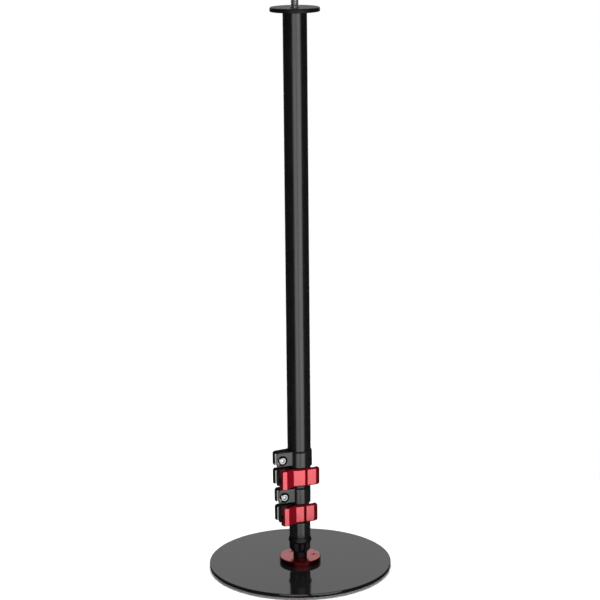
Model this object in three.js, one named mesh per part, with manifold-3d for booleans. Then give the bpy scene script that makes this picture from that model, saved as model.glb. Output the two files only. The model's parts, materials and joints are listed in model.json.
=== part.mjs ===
// Telescopic camera stand on a round base, folded to its shortest.
// Millimetres, +Z up, origin under the middle of the base, camera's side towards -Y.
import * as THREE from 'three';
import { mergeVertices } from 'three/addons/utils/BufferGeometryUtils.js';
import Module from 'manifold-3d';

const wasm = await Module();
wasm.setup();

// Clearances
const seatGap = 0.25; // between pieces that are fixed to each other
const slideGap = 0.3; // between a clamp and the tube that slides in it
const guideGap = 0.15; // each side of a guide shell
const overrun = 2; // how far a cut runs past what it cuts

// Facets round a circle
const wideFacets = 60;
const tubeFacets = 36;
const smallFacets = 16;

// Round base
const discDiameter = 220;
const discThickness = 4.5;
const discBevel = 0.9;
const padDiameter = 14;
const padHeight = 3;
const padInset = 14;
const padCount = 6;

// Flange, screwed down on the disc
const flangeDiameter = 50;
const flangeThickness = 6.2;
const flangeEdgeBevel = 0.9;
const flangeScrewCount = 3;
const flangeScrewCircle = 33;
const flangeScrewTurn = THREE.MathUtils.degToRad(8);
const flangeScrewDiameter = 4;
const flangeScrewHeadDiameter = 7.6;
const flangeScrewHeadHeight = 2.2;
const flangeScrewDepth = 4.4;
const flangeScrewSocketWidth = 2.5;
const flangeScrewSocketDepth = 1.7;

// Tubes
const upperTubeDiameter = 28;
const tubeStep = 4; // how much thinner each next tube is
const middleTubeDiameter = upperTubeDiameter - tubeStep;
const lowerTubeDiameter = middleTubeDiameter - tubeStep;
const tubeWall = 1.2;
const columnTop = 670.5; // where the upper tube ends and the plate rests
const middleTubeTopGap = 1; // under the plug in the upper tube
const lowerTubeTopStep = 45; // below the top of the middle tube

// Screw up through the disc and the flange into the foot's stem
const centreScrewDiameter = 8;
const centreScrewHeadDiameter = 15;
const centreScrewHeadHeight = 4.2;
const centreScrewSocketWidth = 5;
const centreScrewSocketDepth = 2.6;
const centreScrewBite = 16; // how far it reaches into the stem

// Foot stem: a wide foot on the flange, and a spigot that the column stands on
const stemHeight = 6;
const stemBevel = 0.6;
const stemWall = 2.5; // round the centre screw
const spigotDiameter = centreScrewDiameter + 2 * stemWall;
const stemShoulder = 1.9;
const stemDiameter = spigotDiameter + 2 * stemShoulder;
const spigotHeight = 18;

// Socket for the lower tube, with a slit skirt inside the ring
const socketWall = 2.8;
const socketDiameter = lowerTubeDiameter + 2 * socketWall;
const socketHeight = 19.7;
const socketFloor = 4.2;
const socketBevel = 0.8;
const skirtWall = 2.25;
const skirtDiameter = spigotDiameter + 2 * (skirtWall + seatGap);
const skirtLipTaper = 2.2;
const skirtSlitWidth = 1.5;
const skirtSlitHeight = 10;

// Lobed ring that tightens the socket's skirt on the spigot
const ringHeight = 19;
const ringLipWidth = 3;
const ringFootDiameter = spigotDiameter + 2 * ringLipWidth;
const ringWall = 3.5; // round the skirt, at its lobes
const ringBellyDiameter = skirtDiameter + 2 * (slideGap + ringWall);
const ringRimStand = 1.2;
const ringRimDiameter = ringBellyDiameter + 2 * ringRimStand;
const ringRimHeight = 1.6;
const ringTopStand = 0.1;
const ringTopDiameter = ringBellyDiameter + 2 * ringTopStand;
const ringTopSlope = 4;
const ringLipHeight = 3;
const ringBellyHeightShare = 0.28; // of the ring's height, where its underside has rounded out
const ringKneeHeightShare = 0.12;
const ringKneeInset = 1;
const ringKneeDiameter = ringBellyDiameter - 2 * ringKneeInset;
const ringScallopCount = 7;
const ringScallopRadius = 4.6;
const ringValleyWall = 1.1;
const ringValleyDiameter = skirtDiameter + 2 * (slideGap + ringValleyWall);
const ringScallopTopDrop = 6.2; // below the ring's top

// Guide shells, snapped round the top of each thinner tube
const shellLength = 38;
const shellEndMargin = 3;
const shellSplit = 1.2;
const shellPegDiameter = 4;

// Flip locks
const lockTurn = THREE.MathUtils.degToRad(24.4); // the ears point left and forwards
const upperLockTop = 149.7;
const lowerLockTop = 103.3;
const clampWall = 1.15;
const gripWall = 1.3;
const lockHeight = 43.5;
const clampDepth = 18; // how far the clamped tube reaches into the lock
const shoulderThickness = 1.8;
const shoulderTaper = 1.7;
const crossCutWidth = 1.4;
const crossCutDrop = 20;
const bridgeShare = 0.45; // of the clamp's radius, left uncut on the side away from the ears
const earLength = 16.8; // beyond the clamp's own surface
const earSlotWidth = 5.5;
const earTipHalf = 6.65;
const earRootHalf = 8.5;
const clampEarTop = 0.5;
const clampEarHeight = 16.8;
const leverEarTop = 21.5;
const leverEarHeight = 19.5;
const earTopCorner = 2.8;
const earLowCorner = 1.5;

// Bolts, nuts and washers of the locks
const boltDiameter = 5;
const nutAcrossFlats = 8;
const nutHeight = 2.7; // a thin nut, nearly flush in its recess
const tensionBoltDiameter = 4;
const tensionNutAcrossFlats = 7;
const tensionNutHeight = 4;
const boltHeadDiameter = 8.5;
const boltHeadHeight = 4.6;
const boltSocketWidth = 4;
const boltSocketDepth = 2.4;
const boltEndStand = 0.7;
const washerDiameter = 10;
const washerThickness = 0.8;
const counterboreDiameter = 11;
const counterboreFloorHalf = 4.4;
const clampBoltInset = 6.8; // from the ear's tip
const clampBoltDrop = 10; // below the lock's top

// Flip levers
const leverHeight = 22;
const leverDrop = 20.6; // from the lock's top to the lever's top
const leverThickness = 2.6;
const leverCollarGap = 0.8;
const leverKnuckleCorner = 1.2;
const leverTipCorner = 3.8;
const leverTipLength = 6.1; // past the grip's side, for a finger
const leverTipCurl = 2.2;
const leverEndFlat = 0.9;
const leverEndLean = -0.5;
const leverCrestOffset = 1;
const leverGrooveWidth = 2.4;
const leverGrooveDepth = 0.8;
const leverValleyOffset = 0.4;
const knuckleRadius = 5.5;
const knuckleFlatDistance = 4.5;
const knuckleFlatTurn = THREE.MathUtils.degToRad(-15);
const knuckleLeave = THREE.MathUtils.degToRad(-50);
const knuckleReturn = THREE.MathUtils.degToRad(20);
const pivotInset = 5.7; // from the ear's tip
const leverSwing = THREE.MathUtils.degToRad(100);
const leverSlotHeight = 5.2;
const camPlateThickness = 1;
const camPlateWidth = 10;
const camPlateHeight = 18;
const barrelDiameter = 7.5;
const barrelRecess = 0.6;

// Head
const plugLength = 13;
const plugBevel = 1;
const plateDiameter = 57.6;
const plateThickness = 5;
const plateBevel = 1.4;
const cameraScrewDiameter = 9.5;
const cameraScrewStand = 11;
const cameraScrewBurial = 12;
const cameraScrewBevel = 1;

// Finishes
const blackSteel = { color: 0x141416, roughness: 0.12, metalness: 0.2 };
const blackAluminium = { color: 0x18181a, roughness: 0.38, metalness: 0.5 };
const blackCasting = { color: 0x1c1c1e, roughness: 0.45, metalness: 0.3 };
const redAluminium = { color: 0xb3141f, roughness: 0.3, metalness: 0.8 };
const brightSteel = { color: 0xc9cacc, roughness: 0.22, metalness: 1 };
const blackRubber = { color: 0x101010, roughness: 0.85, metalness: 0 };
const blackPlastic = { color: 0x1a1a1a, roughness: 0.5, metalness: 0 };
const palePlastic = { color: 0xd8d8d4, roughness: 0.5, metalness: 0 };

// A closed mesh becomes a solid: shared corners merged, flat triangles dropped, faces outwards.
function solidOf(geometry) {
  const bare = geometry.clone();
  bare.deleteAttribute('normal');
  bare.deleteAttribute('uv');
  const merged = mergeVertices(bare);
  const index = merged.index.array;
  const corners = merged.attributes.position.array;
  const kept = [];
  let volume = 0;
  const a = new THREE.Vector3();
  const b = new THREE.Vector3();
  const c = new THREE.Vector3();
  for (let i = 0; i < index.length; i += 3) {
    const [p, q, r] = [index[i], index[i + 1], index[i + 2]];
    if (p === q || q === r || r === p) continue;
    kept.push(p, q, r);
    a.fromArray(corners, 3 * p);
    b.fromArray(corners, 3 * q);
    c.fromArray(corners, 3 * r);
    volume += a.dot(b.cross(c));
  }
  if (volume < 0) kept.reverse();
  return new wasm.Manifold(new wasm.Mesh({
    numProp: 3,
    vertProperties: new Float32Array(corners),
    triVerts: new Uint32Array(kept),
  }));
}

function geometryOf(solid) {
  const mesh = solid.getMesh();
  const geometry = new THREE.BufferGeometry();
  geometry.setAttribute('position', new THREE.BufferAttribute(new Float32Array(mesh.vertProperties), 3));
  geometry.setIndex(new THREE.BufferAttribute(new Uint32Array(mesh.triVerts), 1));
  geometry.computeVertexNormals();
  return geometry;
}

// A named mesh with its own material
function piece(name, solid, finish) {
  const mesh = new THREE.Mesh(geometryOf(solid), new THREE.MeshStandardMaterial(finish));
  mesh.name = name;
  return mesh;
}

function joined(solids) {
  return solids.reduce((whole, next) => whole.add(next));
}

// Turned about Z from a closed outline of [radius, height] points
function turned(outline, facets) {
  const points = outline.map(([radius, height]) => new THREE.Vector2(radius, height));
  const geometry = new THREE.LatheGeometry([...points, points[0].clone()], facets);
  geometry.rotateX(Math.PI / 2);
  return solidOf(geometry);
}

function rod(radius, low, high, facets) {
  return turned([[0, low], [radius, low], [radius, high], [0, high]], facets);
}

function sleeve(outer, inner, low, high, facets) {
  return turned([[inner, low], [outer, low], [outer, high], [inner, high]], facets);
}

// An outline in plan, raised from low to high
function raised(shape, low, high) {
  const geometry = new THREE.ExtrudeGeometry(shape, { depth: high - low, bevelEnabled: false });
  geometry.translate(0, 0, low);
  return solidOf(geometry);
}

function planShape(points) {
  return new THREE.Shape(points.map(([x, y]) => new THREE.Vector2(x, y)));
}

function box(left, right, front, back, low, high) {
  return raised(planShape([[left, front], [right, front], [right, back], [left, back]]), low, high);
}

// A solid made along Z is laid along Y, its Z origin at the given place
function laidAlongY(solid, x, y, z) {
  const geometry = geometryOf(solid);
  geometry.rotateX(-Math.PI / 2);
  geometry.translate(x, y, z);
  return solidOf(geometry);
}

function turnedBy(solid, angle) {
  const geometry = geometryOf(solid);
  geometry.rotateZ(angle);
  return solidOf(geometry);
}

function moved(solid, x, y, z) {
  const geometry = geometryOf(solid);
  geometry.translate(x, y, z);
  return solidOf(geometry);
}

function regularPolygon(acrossFlats, sides) {
  const radius = acrossFlats / 2 / Math.cos(Math.PI / sides);
  const corners = [];
  for (let i = 0; i < sides; i += 1) {
    const angle = (2 * Math.PI * i) / sides;
    corners.push([radius * Math.cos(angle), radius * Math.sin(angle)]);
  }
  return planShape(corners);
}

// Places evenly spaced round a circle
function around(count, radius, firstAngle) {
  const places = [];
  for (let i = 0; i < count; i += 1) {
    const angle = firstAngle + (2 * Math.PI * i) / count;
    places.push([radius * Math.cos(angle), radius * Math.sin(angle)]);
  }
  return places;
}

// Heights of the base and the foot, each resting on the one before
const discTop = padHeight + discThickness;
const flangeTop = discTop + flangeThickness;
const stemTop = flangeTop + stemHeight;
const spigotTop = stemTop + spigotHeight;
const ringLow = stemTop + seatGap;
const ringTop = ringLow + ringHeight;
const socketLow = ringTop + seatGap;
const socketTop = socketLow + socketHeight;
const lowerTubeFoot = socketLow + socketFloor;
const skirtLow = ringLow + ringLipHeight + seatGap;
const centreScrewTop = flangeTop + centreScrewBite;

const flangeScrewPlaces = around(flangeScrewCount, flangeScrewCircle / 2, flangeScrewTurn);
const padPlaces = around(padCount, discDiameter / 2 - padInset, Math.PI / padCount);

// A countersunk screw standing on its head, or with a margin the hole that it sits in
function centreScrewForm(margin, headLow) {
  const shank = centreScrewDiameter / 2 + margin;
  const head = centreScrewHeadDiameter / 2 + margin;
  return turned([
    [0, headLow],
    [head, headLow],
    [head, padHeight],
    [shank, padHeight + centreScrewHeadHeight],
    [shank, centreScrewTop + margin],
    [0, centreScrewTop + margin],
  ], smallFacets);
}

function makeCentreScrew() {
  const low = padHeight + seatGap;
  const blank = turned([
    [0, low],
    [centreScrewHeadDiameter / 2 - seatGap, low],
    [centreScrewDiameter / 2, padHeight + centreScrewHeadHeight],
    [centreScrewDiameter / 2, centreScrewTop],
    [0, centreScrewTop],
  ], smallFacets);
  const socket = raised(
    regularPolygon(centreScrewSocketWidth, 6), low - overrun, low + centreScrewSocketDepth,
  );
  return blank.subtract(socket);
}

function makeDisc() {
  const radius = discDiameter / 2;
  const blank = turned([
    [0, padHeight],
    [radius - discBevel, padHeight],
    [radius, padHeight + discBevel],
    [radius, discTop - discBevel],
    [radius - discBevel, discTop],
    [0, discTop],
  ], wideFacets);
  const holes = flangeScrewPlaces.map(([x, y]) => moved(
    rod(flangeScrewDiameter / 2 + seatGap, discTop - flangeScrewDepth - seatGap, discTop + overrun, smallFacets),
    x, y, 0,
  ));
  return blank.subtract(joined([...holes, centreScrewForm(seatGap, padHeight - overrun)]));
}

// A countersunk screw's outer form, or with a margin the hole that it sits in
function flangeScrewForm(margin, extraTop) {
  const shank = flangeScrewDiameter / 2 + margin;
  const head = flangeScrewHeadDiameter / 2 + margin;
  const top = flangeTop + extraTop;
  return turned([
    [0, discTop - flangeScrewDepth],
    [shank, discTop - flangeScrewDepth],
    [shank, flangeTop - flangeScrewHeadHeight],
    [head, flangeTop],
    [head, top],
    [0, top],
  ], smallFacets);
}

function makeFlange() {
  const radius = flangeDiameter / 2;
  const blank = turned([
    [0, discTop],
    [radius, discTop],
    [radius, flangeTop - flangeEdgeBevel],
    [radius - flangeEdgeBevel, flangeTop],
    [0, flangeTop],
  ], wideFacets);
  const seats = flangeScrewPlaces.map(([x, y]) => moved(flangeScrewForm(seatGap, overrun), x, y, 0));
  return blank.subtract(joined([...seats, centreScrewForm(seatGap, padHeight)]));
}

function makeFlangeScrew() {
  const shank = flangeScrewDiameter / 2;
  const head = flangeScrewHeadDiameter / 2;
  const blank = turned([
    [0, discTop - flangeScrewDepth],
    [shank, discTop - flangeScrewDepth],
    [shank, flangeTop - flangeScrewHeadHeight],
    [head, flangeTop],
    [0, flangeTop],
  ], smallFacets);
  const socket = raised(
    regularPolygon(flangeScrewSocketWidth, 6),
    flangeTop - flangeScrewSocketDepth,
    flangeTop + overrun,
  );
  return blank.subtract(socket);
}

function makeStem() {
  const foot = stemDiameter / 2;
  const spigot = spigotDiameter / 2;
  return turned([
    [0, flangeTop],
    [foot, flangeTop],
    [foot, stemTop - stemBevel],
    [foot - stemBevel, stemTop],
    [spigot, stemTop],
    [spigot, spigotTop - stemBevel],
    [spigot - stemBevel, spigotTop],
    [0, spigotTop],
  ], tubeFacets).subtract(centreScrewForm(seatGap, padHeight));
}

function makeFootRing() {
  const lip = spigotDiameter / 2 + slideGap;
  const bore = skirtDiameter / 2 + slideGap;
  const rimLow = ringTop - ringTopSlope - ringRimHeight;
  const blank = turned([
    [lip, ringLow],
    [ringFootDiameter / 2, ringLow],
    [ringKneeDiameter / 2, ringLow + ringHeight * ringKneeHeightShare],
    [ringBellyDiameter / 2, ringLow + ringHeight * ringBellyHeightShare],
    [ringBellyDiameter / 2, rimLow - ringRimHeight],
    [ringRimDiameter / 2, rimLow],
    [ringRimDiameter / 2, rimLow + ringRimHeight],
    [ringTopDiameter / 2, ringTop],
    [bore, ringTop],
    [bore, ringLow + ringLipHeight + skirtLipTaper],
    [lip, ringLow + ringLipHeight],
  ], tubeFacets);
  const scallops = around(ringScallopCount, ringValleyDiameter / 2 + ringScallopRadius, 0);
  return blank.subtract(joined(scallops.map(([x, y]) => moved(
    rod(ringScallopRadius, ringLow - overrun, ringTop - ringScallopTopDrop, smallFacets),
    x, y, 0,
  ))));
}

function makeFootSocket() {
  const radius = socketDiameter / 2;
  const seat = lowerTubeDiameter / 2 + seatGap;
  const skirt = skirtDiameter / 2;
  const bore = spigotDiameter / 2 + seatGap;
  const taperFoot = skirt - skirtLipTaper;
  const blank = turned([
    [bore, skirtLow],
    [taperFoot, skirtLow],
    [skirt, skirtLow + skirtLipTaper],
    [skirt, socketLow],
    [radius - socketBevel, socketLow],
    [radius, socketLow + socketBevel],
    [radius, socketTop - socketBevel],
    [radius - socketBevel, socketTop],
    [seat, socketTop],
    [seat, lowerTubeFoot],
    [0, lowerTubeFoot],
    [0, spigotTop + seatGap],
    [bore, spigotTop + seatGap],
  ], tubeFacets);
  const slits = [0, Math.PI / 2].map((angle) => turnedBy(
    box(
      -skirtDiameter, skirtDiameter,
      -skirtSlitWidth / 2, skirtSlitWidth / 2,
      skirtLow - overrun, skirtLow + skirtSlitHeight,
    ),
    angle,
  ));
  return blank.subtract(joined(slits));
}

// A tube from low to high; with pegs it has the two holes that a guide shell snaps into
function makeTube(diameter, low, high, pegged) {
  const tube = sleeve(diameter / 2, diameter / 2 - tubeWall, low, high, tubeFacets);
  if (!pegged) return tube;
  const hole = rod(shellPegDiameter / 2 + seatGap, -diameter, diameter, smallFacets);
  return tube.subtract(laidAlongY(hole, 0, 0, high - shellEndMargin - shellLength / 2));
}

// One of two half shells that guide the top of a thinner tube inside the next one
function makeGuideShell(diameter, nextDiameter, tubeTop, side) {
  const inner = diameter / 2 + guideGap;
  const outer = nextDiameter / 2 - tubeWall - guideGap;
  const high = tubeTop - shellEndMargin;
  const low = high - shellLength;
  const ring = sleeve(outer, inner, low, high, tubeFacets);
  const half = box(
    -nextDiameter, nextDiameter,
    side < 0 ? -nextDiameter : shellSplit / 2,
    side < 0 ? -shellSplit / 2 : nextDiameter,
    low - overrun, high + overrun,
  );
  const peg = laidAlongY(
    rod(
      shellPegDiameter / 2,
      side < 0 ? -outer + guideGap : diameter / 2 - tubeWall,
      side < 0 ? -diameter / 2 + tubeWall : outer - guideGap,
      smallFacets,
    ),
    0, 0, (low + high) / 2,
  );
  return ring.intersect(half).add(peg);
}

// Everything of one flip lock, in a frame with its origin on the axis at the lock's top.
// The ears point along -X and the lever closes across the front, -Y.
function makeLock(name, clampedDiameter, grippedDiameter) {
  const clampBore = clampedDiameter / 2 + seatGap;
  const clampRadius = clampBore + clampWall;
  const gripBore = grippedDiameter / 2 + slideGap;
  const gripRadius = gripBore + gripWall;
  const reach = clampRadius + earLength;
  const clampBoltX = clampBoltInset - reach;
  const pivotX = pivotInset - reach;
  const pivotY = -(earTipHalf + camPlateThickness + 2 * seatGap + knuckleRadius);
  const leverTop = -leverDrop;
  const leverLow = leverTop - leverHeight;
  const leverMiddle = (leverTop + leverLow) / 2;
  const leverEarLow = -leverEarTop - leverEarHeight;
  const clampEarLow = -clampEarTop - clampEarHeight;
  const boltHole = boltDiameter / 2 + seatGap;
  const tensionHoleRadius = tensionBoltDiameter / 2 + seatGap;

  // Ears, seen from the front with rounded outer corners, then narrowed in plan towards the tip
  function earsBlock(low, high, frontTip, frontRoot, backTip, backRoot) {
    const side = new THREE.Shape();
    side.moveTo(0, low);
    side.lineTo(-reach + earLowCorner, low);
    side.absarc(-reach + earLowCorner, low + earLowCorner, earLowCorner, -Math.PI / 2, -Math.PI, true);
    side.lineTo(-reach, high - earTopCorner);
    side.absarc(-reach + earTopCorner, high - earTopCorner, earTopCorner, Math.PI, Math.PI / 2, true);
    side.lineTo(0, high);
    const geometry = new THREE.ExtrudeGeometry(side, {
      depth: 2 * reach,
      bevelEnabled: false,
      curveSegments: 5,
    });
    geometry.translate(0, 0, -reach);
    geometry.rotateX(Math.PI / 2);
    const plan = raised(planShape([
      [-reach - overrun, -frontTip],
      [-clampRadius + clampWall, -frontRoot],
      [0, -frontRoot],
      [0, backRoot],
      [-clampRadius + clampWall, backRoot],
      [-reach - overrun, backTip],
    ]), low - overrun, high + overrun);
    return solidOf(geometry).intersect(plan);
  }

  function makeCollar() {
    const shell = turned([
      [0, 0],
      [clampRadius, 0],
      [clampRadius, -clampDepth - shoulderThickness],
      [gripRadius, -clampDepth - shoulderThickness - shoulderTaper],
      [gripRadius, -lockHeight],
      [0, -lockHeight],
    ], tubeFacets);
    const clampEars = earsBlock(clampEarLow, -clampEarTop, earTipHalf, earRootHalf, earTipHalf, earRootHalf);
    const leverEars = earsBlock(
      leverEarLow, -leverEarTop, earTipHalf, earTipHalf, earTipHalf, earTipHalf,
    );
    const bore = turned([
      [0, overrun],
      [clampBore, overrun],
      [clampBore, -clampDepth],
      [gripBore, -clampDepth],
      [gripBore, -lockHeight - overrun],
      [0, -lockHeight - overrun],
    ], tubeFacets);
    const slot = box(
      -reach - overrun, 0, -earSlotWidth / 2, earSlotWidth / 2, -lockHeight - overrun, overrun,
    );
    const crossCut = box(
      -reach, clampRadius * bridgeShare, -reach, reach, -crossCutDrop - crossCutWidth, -crossCutDrop,
    );
    const clampBoltHole = laidAlongY(
      rod(boltHole, -reach, reach, smallFacets), clampBoltX, 0, -clampBoltDrop,
    );
    const counterbores = [-1, 1].map((side) => laidAlongY(
      rod(
        counterboreDiameter / 2,
        side < 0 ? -reach : counterboreFloorHalf,
        side < 0 ? -counterboreFloorHalf : reach,
        smallFacets,
      ),
      clampBoltX, 0, -clampBoltDrop,
    ));
    const tensionHole = laidAlongY(
      rod(tensionHoleRadius, -reach, reach, smallFacets), pivotX, 0, leverMiddle,
    );
    return joined([shell, clampEars, leverEars])
      .subtract(joined([bore, slot, crossCut, clampBoltHole, ...counterbores, tensionHole]));
  }

  // A hexagon nut laid along Y from one face to the other
  function makeNut(innerFace, outerFace, acrossFlats, hole, x, z) {
    const low = Math.min(innerFace, outerFace);
    const high = Math.max(innerFace, outerFace);
    const nut = raised(regularPolygon(acrossFlats, 6), low, high);
    return laidAlongY(nut.subtract(rod(hole, low - overrun, high + overrun, smallFacets)), x, 0, z);
  }

  function makeWasher() {
    const outerFace = -counterboreFloorHalf - seatGap;
    const ring = sleeve(washerDiameter / 2, boltHole, outerFace - washerThickness, outerFace, smallFacets);
    return laidAlongY(ring, clampBoltX, 0, -clampBoltDrop);
  }

  const clampNutInner = -(counterboreFloorHalf + washerThickness + 2 * seatGap);

  function makeClampBolt() {
    const headInner = counterboreFloorHalf + seatGap;
    const headOuter = headInner + boltHeadHeight;
    const shank = rod(boltDiameter / 2, clampNutInner - nutHeight - boltEndStand, headInner, smallFacets);
    const head = rod(boltHeadDiameter / 2, headInner, headOuter, smallFacets);
    const socket = raised(
      regularPolygon(boltSocketWidth, 6), headOuter - boltSocketDepth, headOuter + overrun,
    );
    return laidAlongY(shank.add(head).subtract(socket), clampBoltX, 0, -clampBoltDrop);
  }

  const tensionNutInner = earTipHalf + seatGap;

  function makeTensionBolt() {
    const end = tensionNutInner + tensionNutHeight + boltEndStand;
    return laidAlongY(
      rod(tensionBoltDiameter / 2, pivotY - barrelDiameter / 4, end, smallFacets), pivotX, 0, leverMiddle,
    );
  }

  function makeBarrel() {
    const pin = moved(
      rod(barrelDiameter / 2, leverLow + barrelRecess, leverTop - barrelRecess, smallFacets),
      pivotX, pivotY, 0,
    );
    const crossHole = laidAlongY(
      rod(tensionHoleRadius, pivotY - barrelDiameter / 4 - seatGap, pivotY + barrelDiameter, smallFacets),
      pivotX, 0, leverMiddle,
    );
    return pin.subtract(crossHole);
  }

  function makeCamPlate() {
    const back = -earTipHalf - seatGap;
    const plate = box(
      pivotX - camPlateWidth / 2, pivotX + camPlateWidth / 2,
      back - camPlateThickness, back,
      leverMiddle - camPlateHeight / 2, leverMiddle + camPlateHeight / 2,
    );
    const hole = laidAlongY(
      rod(tensionHoleRadius, -reach, reach, smallFacets), pivotX, 0, leverMiddle,
    );
    return plate.subtract(hole);
  }

  // Plan outline: the knuckle on its pin, a valley, the plate across the collar and the finger end
  function leverOutline() {
    const crestY = -(gripRadius + leverCollarGap + leverThickness);
    const innerRadius = gripRadius + leverCollarGap;
    const valleyX = -(gripRadius + leverValleyOffset);
    const valleyY = -(gripRadius + leverValleyOffset);
    const endX = gripRadius + leverEndFlat;
    const tipX = gripRadius + leverTipLength;
    const flatHalfTurn = Math.acos(knuckleFlatDistance / knuckleRadius);
    const flatMiddle = -Math.PI / 2 + knuckleFlatTurn;
    const outline = new THREE.Shape();
    outline.moveTo(
      pivotX + knuckleRadius * Math.cos(knuckleReturn),
      pivotY + knuckleRadius * Math.sin(knuckleReturn),
    );
    outline.absarc(pivotX, pivotY, knuckleRadius, knuckleReturn, 2 * Math.PI + flatMiddle - flatHalfTurn, false);
    outline.absarc(pivotX, pivotY, knuckleRadius, flatMiddle + flatHalfTurn, knuckleLeave, false);
    outline.lineTo(valleyX, valleyY);
    outline.lineTo(leverCrestOffset, crestY);
    outline.lineTo(leverCrestOffset + leverGrooveWidth / 2, crestY + leverGrooveDepth);
    outline.lineTo(leverCrestOffset + leverGrooveWidth, crestY);
    outline.lineTo(endX, crestY + leverEndLean);
    outline.quadraticCurveTo(tipX, crestY + leverEndLean, tipX, crestY + leverTipCurl);
    outline.lineTo(tipX - leverThickness / 2, crestY + leverTipCurl + leverThickness / 2);
    outline.lineTo(endX, crestY + leverThickness + leverEndLean);
    outline.lineTo(0, -innerRadius);
    outline.absarc(0, 0, innerRadius, -Math.PI / 2, -Math.PI * 0.69, true);
    outline.lineTo(valleyX + leverThickness / 4, valleyY + leverThickness);
    return outline;
  }

  function makeLever() {
    const blank = raised(leverOutline(), leverLow, leverTop);
    const left = pivotX - knuckleRadius;
    const right = gripRadius + leverTipLength;
    const wide = leverTipCorner;
    const tight = leverKnuckleCorner;
    const face = new THREE.Shape();
    face.moveTo(left + tight, leverLow);
    face.lineTo(right - wide, leverLow);
    face.absarc(right - wide, leverLow + wide, wide, -Math.PI / 2, 0, false);
    face.lineTo(right, leverTop - wide);
    face.absarc(right - wide, leverTop - wide, wide, 0, Math.PI / 2, false);
    face.lineTo(left + tight, leverTop);
    face.absarc(left + tight, leverTop - tight, tight, Math.PI / 2, Math.PI, false);
    face.lineTo(left, leverLow + tight);
    face.absarc(left + tight, leverLow + tight, tight, Math.PI, Math.PI * 1.5, false);
    const facePrism = new THREE.ExtrudeGeometry(face, {
      depth: 2 * reach,
      bevelEnabled: false,
      curveSegments: 4,
    });
    facePrism.translate(0, 0, -reach);
    facePrism.rotateX(Math.PI / 2);
    const barrelBore = moved(
      rod(barrelDiameter / 2 + seatGap, leverLow - overrun, leverTop + overrun, smallFacets),
      pivotX, pivotY, 0,
    );
    return blank.intersect(solidOf(facePrism)).subtract(barrelBore).subtract(makeSwingSlot());
  }

  // The room that the tension bolt needs inside the knuckle while the lever swings
  function makeSwingSlot() {
    const half = tensionHoleRadius;
    const long = knuckleRadius + overrun;
    const low = leverMiddle - leverSlotHeight / 2;
    const high = leverMiddle + leverSlotHeight / 2;
    const closed = box(-half, half, 0, long, low, high);
    const open = turnedBy(closed, leverSwing);
    const sweep = new THREE.Shape();
    sweep.moveTo(0, 0);
    sweep.lineTo(0, long);
    sweep.absarc(0, 0, long, Math.PI / 2, Math.PI / 2 + leverSwing, false);
    return moved(joined([closed, open, raised(sweep, low, high)]), pivotX, pivotY, 0);
  }

  return {
    fixed: [
      piece(`${name}_collar`, makeCollar(), blackCasting),
      piece(`${name}_clamp_bolt`, makeClampBolt(), brightSteel),
      piece(`${name}_clamp_washer`, makeWasher(), blackSteel),
      piece(`${name}_clamp_nut`, makeNut(
        clampNutInner, clampNutInner - nutHeight, nutAcrossFlats, boltHole, clampBoltX, -clampBoltDrop,
      ), brightSteel),
      piece(`${name}_tension_bolt`, makeTensionBolt(), brightSteel),
      piece(`${name}_tension_nut`, makeNut(
        tensionNutInner, tensionNutInner + tensionNutHeight,
        tensionNutAcrossFlats, tensionHoleRadius, pivotX, leverMiddle,
      ), brightSteel),
      piece(`${name}_barrel_pin`, makeBarrel(), brightSteel),
      piece(`${name}_cam_plate`, makeCamPlate(), blackPlastic),
    ],
    lever: piece(`${name}_lever`, makeLever(), redAluminium),
  };
}

// A lock's pieces turned and raised to their place on the column
function placedLock(lock, top) {
  const group = new THREE.Group();
  group.rotation.z = lockTurn;
  group.position.z = top;
  group.add(...lock.fixed, lock.lever);
  return group;
}

// Heights of the tubes' ends, inside the upper tube and on the shoulders of their locks
const middleTubeTop = columnTop - plugLength - middleTubeTopGap;
const lowerTubeTop = middleTubeTop - lowerTubeTopStep;
const upperTubeFoot = upperLockTop - clampDepth + seatGap;
const middleTubeFoot = lowerLockTop - clampDepth + seatGap;

const base = new THREE.Group();
base.add(
  piece('base_disc', makeDisc(), blackSteel),
  piece('base_flange', makeFlange(), redAluminium),
  piece('centre_screw', makeCentreScrew(), brightSteel),
  piece('foot_stem', makeStem(), blackAluminium),
  piece('foot_lock_ring', makeFootRing(), blackPlastic),
  piece('foot_socket', makeFootSocket(), blackPlastic),
  piece('lower_tube', makeTube(lowerTubeDiameter, lowerTubeFoot, lowerTubeTop, true), blackAluminium),
);
padPlaces.forEach(([x, y], i) => {
  const pad = piece(`foot_pad_${i + 1}`, rod(padDiameter / 2, 0, padHeight, smallFacets), blackRubber);
  pad.position.set(x, y, 0);
  base.add(pad);
});
flangeScrewPlaces.forEach(([x, y], i) => {
  const screw = piece(`flange_screw_${i + 1}`, makeFlangeScrew(), redAluminium);
  screw.position.set(x, y, 0);
  base.add(screw);
});
[-1, 1].forEach((side) => base.add(piece(
  side < 0 ? 'lower_guide_shell_front' : 'lower_guide_shell_back',
  makeGuideShell(lowerTubeDiameter, middleTubeDiameter, lowerTubeTop, side),
  palePlastic,
)));

const middleSection = new THREE.Group();
middleSection.add(
  piece('middle_tube', makeTube(middleTubeDiameter, middleTubeFoot, middleTubeTop, true), blackAluminium),
  placedLock(makeLock('lower_lock', middleTubeDiameter, lowerTubeDiameter), lowerLockTop),
);
[-1, 1].forEach((side) => middleSection.add(piece(
  side < 0 ? 'middle_guide_shell_front' : 'middle_guide_shell_back',
  makeGuideShell(middleTubeDiameter, upperTubeDiameter, middleTubeTop, side),
  palePlastic,
)));

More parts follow.
